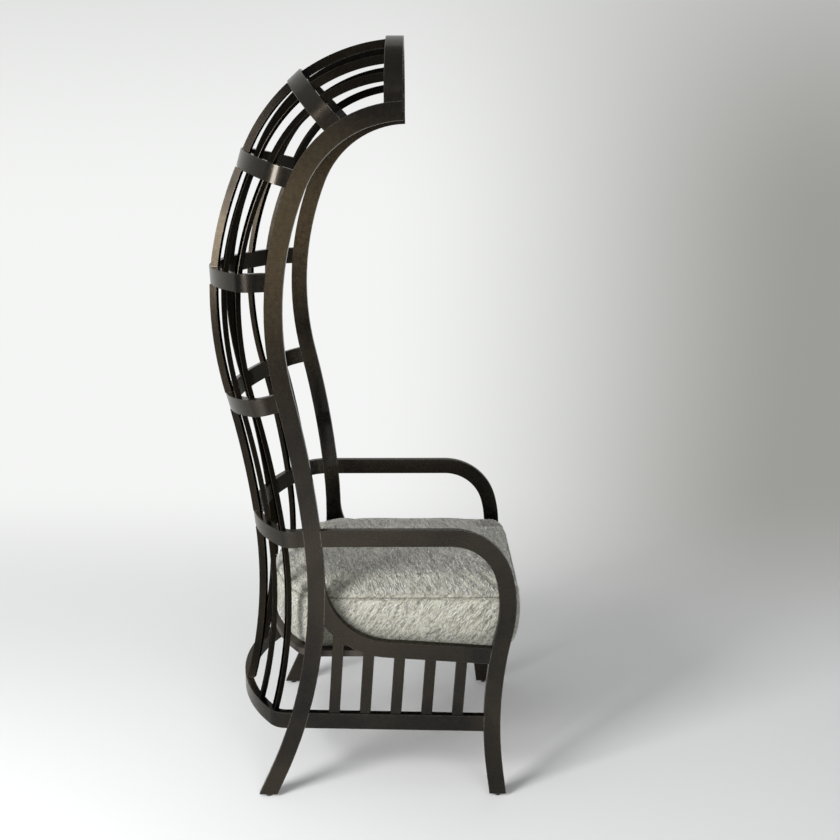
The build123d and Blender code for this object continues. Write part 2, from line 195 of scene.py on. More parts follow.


# Paper: plain where it is the floor, and a fixed tone where it is the backdrop. That tone is painted light
# falloff: bright towards +Y, dim towards -Y, and a middle tone higher up
def makeStageMaterial():
    material, tree, shader = newMaterial("backdropPaper")
    coords = addNode(tree, "ShaderNodeTexCoord")
    split = addNode(tree, "ShaderNodeSeparateXYZ")
    tree.links.new(coords.outputs["Object"], split.inputs[0])
    reach = doMath(tree, "ADD", split.outputs["X"], stage["fanFoot"])
    fan = doMath(tree, "DIVIDE", split.outputs["Y"], reach)
    shares = []
    for value, limits in (
        (fan, "brightFrom"),
        (split.outputs["Z"], "highFrom"),
        (split.outputs["X"], "wallFrom"),
    ):
        share = addNode(tree, "ShaderNodeMapRange", {1: stage[limits][0], 2: stage[limits][1]},
                        interpolation_type="SMOOTHSTEP")
        tree.links.new(value, share.inputs[0])
        shares.append(share.outputs[0])
    paintedLitShare, highShare, wallShare = shares
    # Painted light falloff on the backdrop: lit tone to one side of the fan, painted shade to the other,
    # then a middle tone higher up
    tone = mixColours(tree, paintedLitShare, stage["paintedShadeTone"], stage["paintedLitTone"])
    tone = mixColours(tree, highShare, tone, stage["high"])
    shader.inputs["Base Color"].default_value = stage["floorColour"]
    shader.inputs["Roughness"].default_value = stage["roughness"]
    shader.inputs["Specular IOR Level"].default_value = stage["shine"]
    glow = addNode(tree, "ShaderNodeEmission")
    tree.links.new(tone, glow.inputs["Color"])
    path = addNode(tree, "ShaderNodeLightPath")
    seen = doMath(tree, "MAXIMUM", path.outputs["Is Camera Ray"], path.outputs["Is Glossy Ray"])
    seen = doMath(tree, "MAXIMUM", seen, path.outputs["Is Transmission Ray"])
    joined = addNode(tree, "ShaderNodeMixShader")
    tree.links.new(doMath(tree, "MULTIPLY", wallShare, seen), joined.inputs[0])
    tree.links.new(shader.outputs[0], joined.inputs[1])
    tree.links.new(glow.outputs[0], joined.inputs[2])
    tree.links.new(joined.outputs[0], tree.nodes["Material Output"].inputs["Surface"])
    return material


makeStage()
print("stage made")

# Lamps: a tall soft source behind the chair's right shoulder, and a sky that is bright on that side
lamps = {
    "key": {"place": (-2.6, 2.5, 1.9), "aim": (0, 0, 0.9), "size": (1.3, 2.0), "power": 175.0},
    "fill": {"place": (-3.4, -1.2, 2.6), "aim": (0, 0, 0.8), "size": (1.6, 1.6), "power": 22.0},
    "brightWay": (-0.35, 0.75, 0.55),
    "brightSpan": (-0.1, 0.95),  # alignment with that way, over which the sky brightens
    "skyDark": (0.115, 0.112, 0.108, 1),
    "skyBright": (0.62, 0.63, 0.64, 1),
    "skySeen": (0.80, 0.81, 0.81, 1),
}


def makeLamp(name):
    spec = lamps[name]
    data = bpy.data.lights.new(name, "AREA")
    data.shape = "RECTANGLE"
    data.size, data.size_y = spec["size"]
    data.energy = spec["power"]
    made = bpy.data.objects.new(name, data)
    scene.collection.objects.link(made)
    made.location = spec["place"]
    made.rotation_mode = "QUATERNION"
    made.rotation_quaternion = (Vector(spec["aim"]) - Vector(spec["place"])).to_track_quat("-Z", "Y")
    made.visible_camera = False


def makeWorld():
    world = bpy.data.worlds.new("studio")
    world.use_nodes = True
    scene.world = world
    tree = world.node_tree
    way = addNode(tree, "ShaderNodeTexCoord")
    aligned = addNode(tree, "ShaderNodeVectorMath", operation="DOT_PRODUCT")
    tree.links.new(way.outputs["Generated"], aligned.inputs[0])
    aligned.inputs[1].default_value = Vector(lamps["brightWay"]).normalized()
    low, high = lamps["brightSpan"]
    share = addNode(tree, "ShaderNodeMapRange", {1: low, 2: high}, interpolation_type="SMOOTHSTEP")
    tree.links.new(aligned.outputs["Value"], share.inputs[0])
    light = mixColours(tree, share.outputs[0], lamps["skyDark"], lamps["skyBright"])
    path = addNode(tree, "ShaderNodeLightPath")
    seen = mixColours(tree, path.outputs["Is Camera Ray"], light, lamps["skySeen"])
    tree.links.new(seen, tree.nodes["Background"].inputs["Color"])


for lampName in ("key", "fill"):
    makeLamp(lampName)
makeWorld()
scene.view_settings.view_transform = "Standard"
print("lamps lit")


effects = {
    "edgeSpan": (0.99, 0.86),  # how far the rounded normal turns from the plain one
    "wearScale": 70.0,
    "wearSpan": (0.30, 0.62, 0.25, 1.0),
    "cloudSpan": (0.36, 0.66),
    "mottleScale": 90.0,
    "mottleSpan": (0.32, 0.70),
    "lineSpan": (0.28, 0.72),
}


# Edge wear and painted edge highlight: 1 on a rounded-over edge, 0 on a flat face
def edgeWearAndGlintGroup():
    tree, entry, leave = newGroup(
        "edgeWearAndGlint",
        [("Width", "NodeSocketFloat", 0.002), ("Vector", "NodeSocketVector", (0, 0, 0))],
        [("Mask", "NodeSocketFloat")],
    )
    rounded = addNode(tree, "ShaderNodeBevel", samples=6)
    tree.links.new(entry.outputs["Width"], rounded.inputs["Radius"])
    plain = addNode(tree, "ShaderNodeNewGeometry")
    product = addNode(tree, "ShaderNodeVectorMath", operation="DOT_PRODUCT")
    tree.links.new(rounded.outputs[0], product.inputs[0])
    tree.links.new(plain.outputs["Normal"], product.inputs[1])
    corner = mapRange(tree, product.outputs["Value"], *effects["edgeSpan"])
    patches = addNode(tree, "ShaderNodeTexNoise", {"Scale": effects["wearScale"], "Detail": 4.0})
    tree.links.new(entry.outputs["Vector"], patches.inputs["Vector"])
    broken = mapRange(tree, patches.outputs[0], *effects["wearSpan"])
    tree.links.new(doMath(tree, "MULTIPLY", corner, broken), leave.inputs["Mask"])
    return tree


# Patina: cloudy tone in large and small patches
def patinaGroup():
    tree, entry, leave = newGroup(
        "patina",
        [("Vector", "NodeSocketVector", (0, 0, 0)), ("Size", "NodeSocketFloat", 5.0)],
        [("Cloud", "NodeSocketFloat"), ("Mottle", "NodeSocketFloat")],
    )
    cloud = addNode(tree, "ShaderNodeTexNoise", {"Detail": 3.0, "Roughness": 0.5, "Distortion": 0.6})
    tree.links.new(entry.outputs["Vector"], cloud.inputs["Vector"])
    tree.links.new(entry.outputs["Size"], cloud.inputs["Scale"])
    mottleInputs = {"Scale": effects["mottleScale"], "Detail": 5.0, "Roughness": 0.62}
    mottle = addNode(tree, "ShaderNodeTexNoise", mottleInputs)
    tree.links.new(entry.outputs["Vector"], mottle.inputs["Vector"])
    tree.links.new(mapRange(tree, cloud.outputs[0], *effects["cloudSpan"]), leave.inputs["Cloud"])
    tree.links.new(mapRange(tree, mottle.outputs[0], *effects["mottleSpan"]), leave.inputs["Mottle"])
    return tree


# Grain: lines stretched along one axis by a scale
def grainGroup():
    tree, entry, leave = newGroup(
        "grain",
        [("Vector", "NodeSocketVector", (0, 0, 0)), ("Stretch", "NodeSocketVector", (1, 1, 1))],
        [("Lines", "NodeSocketFloat")],
    )
    scaled = addNode(tree, "ShaderNodeMapping", vector_type="POINT")
    tree.links.new(entry.outputs["Vector"], scaled.inputs["Vector"])
    tree.links.new(entry.outputs["Stretch"], scaled.inputs["Scale"])
    lines = addNode(tree, "ShaderNodeTexNoise", {"Scale": 1.0, "Detail": 4.0, "Roughness": 0.6})
    tree.links.new(scaled.outputs[0], lines.inputs["Vector"])
    tree.links.new(mapRange(tree, lines.outputs[0], *effects["lineSpan"]), leave.inputs["Lines"])
    return tree


edgeWearAndGlint = edgeWearAndGlintGroup()
patina = patinaGroup()
grain = grainGroup()

bronze = {
    "dark": (0.020, 0.018, 0.017, 1),
    "warm": (0.070, 0.057, 0.041, 1),
    # lighter bronze on the edges: partly wear, partly a painted edge highlight
    "wornAndGlint": (0.40, 0.36, 0.29, 1),
    "edgeTint": (0.60, 0.59, 0.57, 1),
    "slatTint": (0.10, 0.095, 0.09, 1),
    # painted shade: the slats' bronze is a darker copy of the bars' bronze, standing in for light they do
    # not catch
    "slatPaintedShade": 0.32,
    "barShade": 0.65,
    "paintedSheenTone": (0.225, 0.168, 0.098, 1),  # painted sheen: warmer, lighter bronze painted round the stiles' shoulder, standing in for the light there
    "paintedSheenLow": (1.02, 1.24),  # metres above the floor, over which it comes in
    "bandHigh": (1.40, 1.56),  # and over which it goes again
    "paintedSheenShare": 0.80,
    "coat": (0.24, 0.07),  # weight and roughness of the lacquer
    "cloudSize": 3.2,
    "roughness": (0.22, 0.34),
    "wearWidth": 0.0022,
    "wearAndGlintShare": 0.55,
    "wearSmooth": 0.12,
    "mottleShare": 0.22,
    "streakSpan": (0.86, 1.14),
    "brushStrength": 0.5,
    "brushDepth": 0.00006,
    "uprightLines": (900.0, 900.0, 22.0),
    "levelLines": (900.0, 22.0, 900.0),
    "crossLines": (22.0, 900.0, 900.0),
}


def makeBronze(name, lines, shade, edgeTint, coatWeight, paintedSheenShare=0.0):
    material, tree, shader = newMaterial(name)
    coords = addNode(tree, "ShaderNodeTexCoord").outputs["Object"]
    tone = placeGroup(tree, patina, {"Size": bronze["cloudSize"]})
    tree.links.new(coords, tone.inputs["Vector"])
    wearAndGlint = placeGroup(tree, edgeWearAndGlint, {"Width": bronze["wearWidth"]})
    tree.links.new(coords, wearAndGlint.inputs["Vector"])
    brush = placeGroup(tree, grain, {"Stretch": lines})
    tree.links.new(coords, brush.inputs["Vector"])
    colour = mixColours(tree, tone.outputs["Cloud"], bronze["dark"], bronze["warm"])
    mottle = doMath(tree, "MULTIPLY", tone.outputs["Mottle"], bronze["mottleShare"])
    colour = mixColours(tree, mottle, colour, bronze["warm"])
    streak = mapRange(tree, brush.outputs["Lines"], 0, 1, *bronze["streakSpan"])
    colour = mixColours(tree, 1.0, colour, streak, "MULTIPLY")
    # Painted sheen: over a band of height round the shoulder the colour turns to a warmer, lighter bronze
    # that stands in for light
    if paintedSheenShare:
        height = addNode(tree, "ShaderNodeSeparateXYZ")
        tree.links.new(coords, height.inputs[0])
        comes = mapRange(tree, height.outputs["Z"], *bronze["paintedSheenLow"])
        goes = mapRange(tree, height.outputs["Z"], *bronze["bandHigh"], 1.0, 0.0)
        band = doMath(tree, "MULTIPLY", doMath(tree, "MULTIPLY", comes, goes), paintedSheenShare)
        colour = mixColours(tree, band, colour, bronze["paintedSheenTone"])
    # Edges painted lighter: partly wear, partly a painted highlight along the rounded-over edges
    rubbedAndGlint = doMath(tree, "MULTIPLY", wearAndGlint.outputs["Mask"], bronze["wearAndGlintShare"])
    colour = mixColours(tree, rubbedAndGlint, colour, bronze["wornAndGlint"])
    colour = mixColours(tree, 1.0, colour, (shade, shade, shade, 1), "MULTIPLY")
    tree.links.new(colour, shader.inputs["Base Color"])
    mixed = doMath(tree, "ADD", doMath(tree, "MULTIPLY", tone.outputs["Mottle"], 0.6),
                   doMath(tree, "MULTIPLY", brush.outputs["Lines"], 0.4))
    rough = mapRange(tree, mixed, 0, 1, *bronze["roughness"])
    rough = doMath(tree, "SUBTRACT", rough, doMath(tree, "MULTIPLY", rubbedAndGlint, bronze["wearSmooth"]))
    tree.links.new(rough, shader.inputs["Roughness"])
    brushInputs = {"Strength": bronze["brushStrength"], "Distance": bronze["brushDepth"]}
    bump = addNode(tree, "ShaderNodeBump", brushInputs)
    tree.links.new(brush.outputs["Lines"], bump.inputs["Height"])
    tree.links.new(bump.outputs[0], shader.inputs["Normal"])
    shader.inputs["Metallic"].default_value = 1.0
    shader.inputs["Specular Tint"].default_value = edgeTint
    shader.inputs["Coat Weight"].default_value = coatWeight
    shader.inputs["Coat Roughness"].default_value = bronze["coat"][1]
    return material


darkWood = {
    "base": (0.022, 0.017, 0.013, 1),
    "figure": (0.055, 0.042, 0.030, 1),
    "lines": (16.0, 420.0, 420.0),
    "roughness": (0.45, 0.62),
}


def makeDeckWood():
    material, tree, shader = newMaterial("deckWood")
    coords = addNode(tree, "ShaderNodeTexCoord").outputs["Object"]
    brush = placeGroup(tree, grain, {"Stretch": darkWood["lines"]})
    tree.links.new(coords, brush.inputs["Vector"])
    colour = mixColours(tree, brush.outputs["Lines"], darkWood["base"], darkWood["figure"])
    tree.links.new(colour, shader.inputs["Base Color"])
    tree.links.new(mapRange(tree, brush.outputs["Lines"], 0, 1, *darkWood["roughness"]),
                   shader.inputs["Roughness"])
    bump = addNode(tree, "ShaderNodeBump", {"Strength": 0.4, "Distance": 0.0002})
    tree.links.new(brush.outputs["Lines"], bump.inputs["Height"])
    tree.links.new(bump.outputs[0], shader.inputs["Normal"])
    return material


plainFinishes = {
    "screwSteel": {"low": (0.38, 0.37, 0.35, 1), "high": (0.56, 0.55, 0.53, 1), "metallic": 1.0,
                   "roughness": (0.28, 0.40), "scale": 400.0},
    "glideBlack": {"low": (0.016, 0.016, 0.017, 1), "high": (0.034, 0.034, 0.036, 1), "metallic": 0.0,
                   "roughness": (0.50, 0.66), "scale": 900.0},
}


def makePlainFinish(name):
    spec = plainFinishes[name]
    material, tree, shader = newMaterial(name)
    coords = addNode(tree, "ShaderNodeTexCoord").outputs["Object"]
    speck = addNode(tree, "ShaderNodeTexNoise", {"Scale": spec["scale"], "Detail": 3.0})
    tree.links.new(coords, speck.inputs["Vector"])
    level = mapRange(tree, speck.outputs[0], 0.3, 0.7)
    tree.links.new(mixColours(tree, level, spec["low"], spec["high"]), shader.inputs["Base Color"])
    tree.links.new(mapRange(tree, level, 0, 1, *spec["roughness"]), shader.inputs["Roughness"])
    bump = addNode(tree, "ShaderNodeBump", {"Strength": 0.3, "Distance": 0.0001})
    tree.links.new(level, bump.inputs["Height"])
    tree.links.new(bump.outputs[0], shader.inputs["Normal"])
    shader.inputs["Metallic"].default_value = spec["metallic"]
    return material


barLook = (bronze["barShade"], bronze["edgeTint"], bronze["coat"][0])
uprightBronze = makeBronze("bronzeUpright", bronze["uprightLines"], *barLook)
# The stiles' bronze carries the painted sheen round the shoulder
stileBronze = makeBronze("bronzeStile", bronze["uprightLines"], *barLook, bronze["paintedSheenShare"])
levelBronze = makeBronze("bronzeLevel", bronze["levelLines"], *barLook)
crossBronze = makeBronze("bronzeCross", bronze["crossLines"], *barLook)
# The slats' bronze is darkened by the painted shade
slatLook = (bronze["slatPaintedShade"], bronze["slatTint"], 0.0)
slatBronze = makeBronze("bronzeSlat", bronze["uprightLines"], *slatLook)
deckWood = makeDeckWood()
screwSteel = makePlainFinish("screwSteel")
glideBlack = makePlainFinish("glideBlack")


def finishFor(name):
    if name.endswith("_glide"):
        return glideBlack
    if name == "deck_screws":
        return screwSteel
    if name == "seat_deck":
        return deckWood
    if name.endswith("_stile"):
        return stileBronze
    if name.endswith(("_back_slats", "_hood_slats")):
        return slatBronze
    if name.endswith("cross_rail"):
        return crossBronze
    if name.endswith(("_seat_rail", "_base_rail", "_arm_and_front_leg")):
        return levelBronze
    return uprightBronze


for name, node in nodes.items():
    node.data.materials.clear()
    node.data.materials.append(finishFor(name))
print("metal, wood and plastic finished")

# Cushion: a boxed seat cushion with a crowned top, filled out by a short cloth simulation
cushion = {
    "segments": 144,
    "cornerPower": 13.0,
    "rearSag": 0.092,  # how far the back edge falls away at the sides
    "boxingHeight": 0.122,
    "startInset": 0.007,
    "voxel": 0.007,
    "gripShare": 0.6,  # of the voxel, held to each side of the seam
    "pressure": 4.0,
    "frames": 20,
    "swellCap": 0.011,
    "baseBand": 0.006,  # the underside stays flat up to here
    "frontReach": 0.0140,  # the front swells this far over its edge
    "sideRoom": 0.0012,  # room for the hair beside the frame
    "seamDepth": 0.0042,
    "seamHalfWidth": 0.0050,
    "seamRadius": 0.0010,
    "seamStep": 3,
    "fill": 0.8,
}
# Shares of the boxing's height and of the crown's height, each with its inset in metres
boxingProfile = ((0, 0.011), (0.08, 0.004), (0.28, 0.0008), (0.55, 0), (0.82, 0.0010), (1, 0.0045))
crownProfile = ((0.30, 0.006), (0.55, 0.013), (0.74, 0.026), (0.88, 0.048), (0.96, 0.085), (0.99, 0.140))

coverLow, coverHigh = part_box("cushion_cover")
cushionMid = (coverLow + coverHigh) / 2
cushionHalf = (coverHigh - coverLow) / 2
seamHeight = coverLow.z + cushion["boxingHeight"]


def outlineAt(turn, inset):  # plan of the cushion: a rounded rectangle whose back edge bows
    power = cushion["cornerPower"]
    run, rise = math.cos(turn), math.sin(turn)
    reach = (abs(run) ** power + abs(rise) ** power) ** (-1 / power)
    across = reach * run
    along = reach * rise
    x = across * (cushionHalf.x - inset)
    y = along * (cushionHalf.y - inset)
    if along > 0:
        y -= cushion["rearSag"] * across**2 * along
    else:
        y += cushion["frontReach"] * along
    return cushionMid.x + x, cushionMid.y + y


def cushionLevels(inset):
    base = coverLow.z + inset * 0.4
    top = coverHigh.z - inset * 0.5
    levels = [(base + share * (seamHeight - base), extra + inset) for share, extra in boxingProfile]
    levels += [(seamHeight + share * (top - seamHeight), extra + inset) for share, extra in crownProfile]
    return levels


def cushionBlock(name, inset):
    levels = cushionLevels(inset)
    work = bmesh.new()
    ring = bmesh.ops.create_circle(work, segments=cushion["segments"], radius=1)["verts"]
    turns = {vert: math.atan2(vert.co.y, vert.co.x) for vert in ring}
    rim = list(work.edges)
    for vert in ring:
        vert.co = (*outlineAt(turns[vert], levels[0][1]), levels[0][0])
    bmesh.ops.contextual_create(work, geom=rim)
    for height, extra in levels[1:]:
        grown = bmesh.ops.extrude_edge_only(work, edges=rim)["geom"]
        rim = [item for item in grown if isinstance(item, bmesh.types.BMEdge)]
        raised = [item for item in grown if isinstance(item, bmesh.types.BMVert)]
        above = {}
        for vert in raised:
            below = next(edge.other_vert(vert) for edge in vert.link_edges if edge.other_vert(vert) in turns)
            above[vert] = turns[below]
        turns = above
        for vert, turn in turns.items():
            vert.co = (*outlineAt(turn, extra), height)
    cap = bmesh.ops.contextual_create(work, geom=rim)["faces"]
    bmesh.ops.poke(work, faces=cap)
    bmesh.ops.recalc_face_normals(work, faces=work.faces)
    return newObject(name, meshFrom(work, name))


def bakeModifiers(made):  # the shown shape becomes the mesh, with no modifier left
    graph = bpy.context.evaluated_depsgraph_get()
    mesh = bpy.data.meshes.new_from_object(
        made.evaluated_get(graph), preserve_all_data_layers=True, depsgraph=graph
    )
    made.modifiers.clear()
    made.data = mesh


def remeshCushion(made):
    remesh = made.modifiers.new("evenFaces", "REMESH")
    remesh.mode = "VOXEL"
    remesh.voxel_size = cushion["voxel"]
    bakeModifiers(made)


def fillCushion(made):
    start = [vert.co.copy() for vert in made.data.vertices]
    held = made.vertex_groups.new(name="sewn")
    nearSeam = cushion["voxel"] * cushion["gripShare"]
    baseTop = coverLow.z + cushion["baseBand"]
    grip = [index for index, place in enumerate(start)
            if abs(place.z - seamHeight) < nearSeam or place.z < baseTop]
    held.add(grip, 1.0, "REPLACE")
    cloth = made.modifiers.new("filling", "CLOTH")
    cloth.settings.vertex_group_mass = "sewn"
    cloth.settings.use_pressure = True
    cloth.settings.uniform_pressure_force = cushion["pressure"]
    cloth.settings.effector_weights.gravity = 0
    cloth.point_cache.frame_start = 1
    cloth.point_cache.frame_end = cushion["frames"]
    for frameNumber in range(1, cushion["frames"] + 1):
        scene.frame_set(frameNumber)
    bakeModifiers(made)
    scene.frame_set(1)
    made.vertex_groups.clear()
    sideLimit = cushionHalf.x - cushion["sideRoom"]
    for vert, place in zip(made.data.vertices, start):
        move = vert.co - place
        if move.length > cushion["swellCap"]:
            move *= cushion["swellCap"] / move.length
        moved = place + move
        moved.x = max(-sideLimit, min(sideLimit, moved.x))
        moved.y = max(coverLow.y - cushion["frontReach"], min(coverHigh.y, moved.y))
        moved.z = max(coverLow.z, min(coverHigh.z, moved.z))
        if place.z < baseTop:
            moved.z = coverLow.z
        vert.co = moved


# Draws a seam in all round at one height, and returns the line along its bottom
def drawInSeam(made, height):
    work = bmesh.new()
    work.from_mesh(made.data)
    for share in (-1, -0.5, 0, 0.5, 1):
        level = (0, 0, height + share * cushion["seamHalfWidth"])
        geom = work.verts[:] + work.edges[:] + work.faces[:]
        bmesh.ops.bisect_plane(work, geom=geom, dist=1e-6, plane_co=level, plane_no=(0, 0, 1))
    work.normal_update()
    moves = {}
    for vert in work.verts:
        away = abs(vert.co.z - height) / cushion["seamHalfWidth"]
        if away < 1:
            moves[vert] = vert.normal * (-cushion["seamDepth"] * math.cos(away * math.pi / 2) ** 2)
    line = [vert for vert in moves if abs(vert.co.z - height) < 1e-5]
    for vert, move in moves.items():
        vert.co += move
    line.sort(key=lambda vert: math.atan2(vert.co.y - cushionMid.y, vert.co.x - cushionMid.x))
    places = [vert.co.copy() for vert in line]
    bmesh.ops.dissolve_degenerate(work, edges=work.edges, dist=1e-5)
    work.to_mesh(made.data)
    work.free()
    return places[:: cushion["seamStep"]]


def seamThread(name, places):
    data = bpy.data.curves.new(name, "CURVE")
    data.dimensions = "3D"
    data.bevel_depth = cushion["seamRadius"]
    data.bevel_resolution = 1
    data.resolution_u = 2
    line = data.splines.new("NURBS")
    line.points.add(len(places) - 1)
    for point, place in zip(line.points, places):
        point.co = (*place, 1)
    line.order_u = 3
    line.use_cyclic_u = True
    made = newObject(name, data)
    mesh = bpy.data.meshes.new_from_object(made.evaluated_get(bpy.context.evaluated_depsgraph_get()))
    bpy.data.objects.remove(made)
    return newObject(name, mesh)


seatCushion = cushionBlock("seat_cushion", cushion["startInset"])
remeshCushion(seatCushion)
fillCushion(seatCushion)
seamPlaces = drawInSeam(seatCushion, seamHeight)
softer = seatCushion.modifiers.new("softer", "SUBSURF")
softer.levels = softer.render_levels = 1
for face in seatCushion.data.polygons:
    face.use_smooth = True
cushionSeam = seamThread("cushion_seam", seamPlaces)
print("cushion filled and sewn")

# Hide: grey hair-on hide. Short hair lies in tufts over a mottled skin, at a slant on the boxing
# and from back to side on the top.
hide = {
    "dark": (0.125, 0.118, 0.093, 1),
    "light": (0.430, 0.422, 0.350, 1),
    "topLie": (0.95, 0.30, 0.0),
    "sideRun": 0.62,
    "sideRise": 0.78,
    "strokeScale": (110.0, 760.0, 760.0),
    "clumpScale": (22.0, 120.0, 120.0),
    "boxingTurn": 0.90,  # radians from level, towards the front
    "topTurn": 0.306,  # radians from straight across
    "tuftDensity": 22000.0,  # to the square metre
    "tuftLength": (0.006, 0.0115),
    "tuftWidth": (0.55, 1.05),  # shares of the tuft's radius
    "tuftLift": (0.03, 0.09),
    "tuftStray": 0.30,
    "tuftRadius": 0.00048,
    "seamClear": 0.002,  # bare to each side of the seam
    "hemClear": 0.008,  # no roots below this height, so that no hair reaches under the cushion
    "undersideLimit": -0.55,
    "topSkin": (0.62, 0.80),  # upward share of the normal, over which the skin counts as top
    "frontSkin": (0.60, 0.78),
    "topTufts": (0.55, 0.75),
    "clumpShare": 0.42,
    "toneSpan": (0.20, 0.70),
    "skinRoughness": (0.78, 0.56),
    "skinShine": 0.35,
    "sheen": (0.25, 0.45),
    "hairRoughness": (0.62, 0.46),
    "hairShine": 0.4,
    "fleckSpan": (-0.18, 0.18),
    "patchTone": (0.05, 0.42),
    "looseTone": (0.10, 0.50),
    "seamDark": (0.035, 0.032, 0.026, 1),
    "seamLight": (0.12, 0.112, 0.094, 1),
    "seed": 7,
}


# Hair strokes: light and dark strands stretched along the first axis of the given vector
def hairStrokesGroup():
    tree, entry, leave = newGroup(
        "hairStrokes",
        [("Vector", "NodeSocketVector", (0, 0, 0))],
        [("Strand", "NodeSocketFloat"), ("Clump", "NodeSocketFloat")],
    )
    bent = addNode(tree, "ShaderNodeTexNoise", {"Scale": 9.0, "Detail": 2.0})
    tree.links.new(entry.outputs["Vector"], bent.inputs["Vector"])
    shift = addNode(tree, "ShaderNodeVectorMath", {1: (0.5, 0.5, 0.5)}, operation="SUBTRACT")
    tree.links.new(bent.outputs["Color"], shift.inputs[0])
    small = addNode(tree, "ShaderNodeVectorMath", {"Scale": 0.022}, operation="SCALE")
    tree.links.new(shift.outputs[0], small.inputs[0])
    moved = addNode(tree, "ShaderNodeVectorMath", operation="ADD")
    tree.links.new(entry.outputs["Vector"], moved.inputs[0])
    tree.links.new(small.outputs[0], moved.inputs[1])
    for output, scale, low, high in (
        ("Strand", hide["strokeScale"], 0.36, 0.64),
        ("Clump", hide["clumpScale"], 0.34, 0.66),
    ):
        stretched = addNode(tree, "ShaderNodeMapping", {"Scale": scale}, vector_type="POINT")
        tree.links.new(moved.outputs[0], stretched.inputs["Vector"])
        lines = addNode(tree, "ShaderNodeTexNoise", {"Scale": 1.0, "Detail": 3.0, "Roughness": 0.55})
        tree.links.new(stretched.outputs[0], lines.inputs["Vector"])
        tree.links.new(mapRange(tree, lines.outputs[0], low, high), leave.inputs[output])
    return tree


# Turns the object's coordinates so that the strokes lie along their first axis
def hairLie(tree, coords, turn):
    made = addNode(tree, "ShaderNodeMapping", {"Rotation": turn}, vector_type="POINT")
    tree.links.new(coords, made.inputs["Vector"])
    return made.outputs[0]


def makeHide():
    material, tree, shader = newMaterial("hideSkin")
    coords = addNode(tree, "ShaderNodeTexCoord").outputs["Object"]
    normal = addNode(tree, "ShaderNodeSeparateXYZ")
    tree.links.new(addNode(tree, "ShaderNodeNewGeometry").outputs["Normal"], normal.inputs[0])
    isTop = mapRange(tree, normal.outputs["Z"], *hide["topSkin"])
    isFront = mapRange(tree, doMath(tree, "ABSOLUTE", normal.outputs["Y"]), *hide["frontSkin"])
    quarter = math.pi / 2
    lies = (
        (hide["boxingTurn"], 0, -quarter),
        (0, hide["boxingTurn"], 0),
        (0, 0, -hide["topTurn"]),
    )
    strands = []
    for lie in lies:
        strokes = placeGroup(tree, hairStrokes)
        tree.links.new(hairLie(tree, coords, lie), strokes.inputs["Vector"])
        strands.append(strokes)
    values = []
    for output in ("Strand", "Clump"):
        side, front, top = (strokes.outputs[output] for strokes in strands)
        around = mixColours(tree, isFront, side, front)
        values.append(mixColours(tree, isTop, around, top))
    strand, clump = values
    tone = mixColours(tree, hide["clumpShare"], strand, clump)
    colour = mixColours(tree, mapRange(tree, tone, *hide["toneSpan"]), hide["dark"], hide["light"])
    tree.links.new(colour, shader.inputs["Base Color"])
    tree.links.new(mapRange(tree, tone, 0, 1, *hide["skinRoughness"]), shader.inputs["Roughness"])
    bump = addNode(tree, "ShaderNodeBump", {"Strength": 0.8, "Distance": 0.0011})
    tree.links.new(tone, bump.inputs["Height"])
    tree.links.new(bump.outputs[0], shader.inputs["Normal"])
    shader.inputs["Specular IOR Level"].default_value = hide["skinShine"]
    shader.inputs["Sheen Weight"].default_value = hide["sheen"][0]
    shader.inputs["Sheen Roughness"].default_value = hide["sheen"][1]
    return material


def makeHair():
    material, tree, shader = newMaterial("hideHair")
    tone = addNode(tree, "ShaderNodeAttribute", attribute_name="tone")
    coords = addNode(tree, "ShaderNodeTexCoord").outputs["Object"]
    fleck = addNode(tree, "ShaderNodeTexNoise", {"Scale": 260.0, "Detail": 2.0})
    tree.links.new(coords, fleck.inputs["Vector"])
    flecks = mapRange(tree, fleck.outputs[0], 0.3, 0.7, *hide["fleckSpan"])
    level = doMath(tree, "ADD", tone.outputs["Fac"], flecks)
    colour = mixColours(tree, mapRange(tree, level, 0.0, 1.0), hide["dark"], hide["light"])
    tree.links.new(colour, shader.inputs["Base Color"])
    tree.links.new(mapRange(tree, level, 0, 1, *hide["hairRoughness"]), shader.inputs["Roughness"])
    shader.inputs["Specular IOR Level"].default_value = hide["hairShine"]
    return material


def makeSeamLeather():
    material, tree, shader = newMaterial("seamLeather")
    coords = addNode(tree, "ShaderNodeTexCoord").outputs["Object"]
    pores = addNode(tree, "ShaderNodeTexNoise", {"Scale": 520.0, "Detail": 3.0})
    tree.links.new(coords, pores.inputs["Vector"])
    level = mapRange(tree, pores.outputs[0], 0.3, 0.7)
    colour = mixColours(tree, level, hide["seamDark"], hide["seamLight"])
    tree.links.new(colour, shader.inputs["Base Color"])
    tree.links.new(mapRange(tree, level, 0, 1, 0.6, 0.8), shader.inputs["Roughness"])
    bump = addNode(tree, "ShaderNodeBump", {"Strength": 0.5, "Distance": 0.0002})
    tree.links.new(level, bump.inputs["Height"])
    tree.links.new(bump.outputs[0], shader.inputs["Normal"])
    return material


# One tuft: a slim three-sided spindle along Z, a little bent, closed at both ends
def makeTuft():
    work = bmesh.new()
    radius = hide["tuftRadius"]
    bmesh.ops.create_cone(
        work, segments=3, cap_ends=True, radius1=radius * 0.6, radius2=radius, depth=0.45
    )
    bmesh.ops.translate(work, verts=work.verts, vec=(0, 0, 0.225))
    cap = [max(work.faces, key=lambda face: face.calc_center_median().z)]
    cap = bmesh.ops.extrude_discrete_faces(work, faces=cap)["faces"]
    tip = cap[0].verts[:]
    middle = cap[0].calc_center_median()
    bmesh.ops.scale(work, verts=tip, vec=(0.06, 0.06, 1), space=Matrix.Translation(-middle))
    bmesh.ops.translate(work, verts=tip, vec=(radius * 1.5, 0, 0.55))
    bmesh.ops.recalc_face_normals(work, faces=work.faces)
    return newObject("tuft", meshFrom(work, "tuft"))


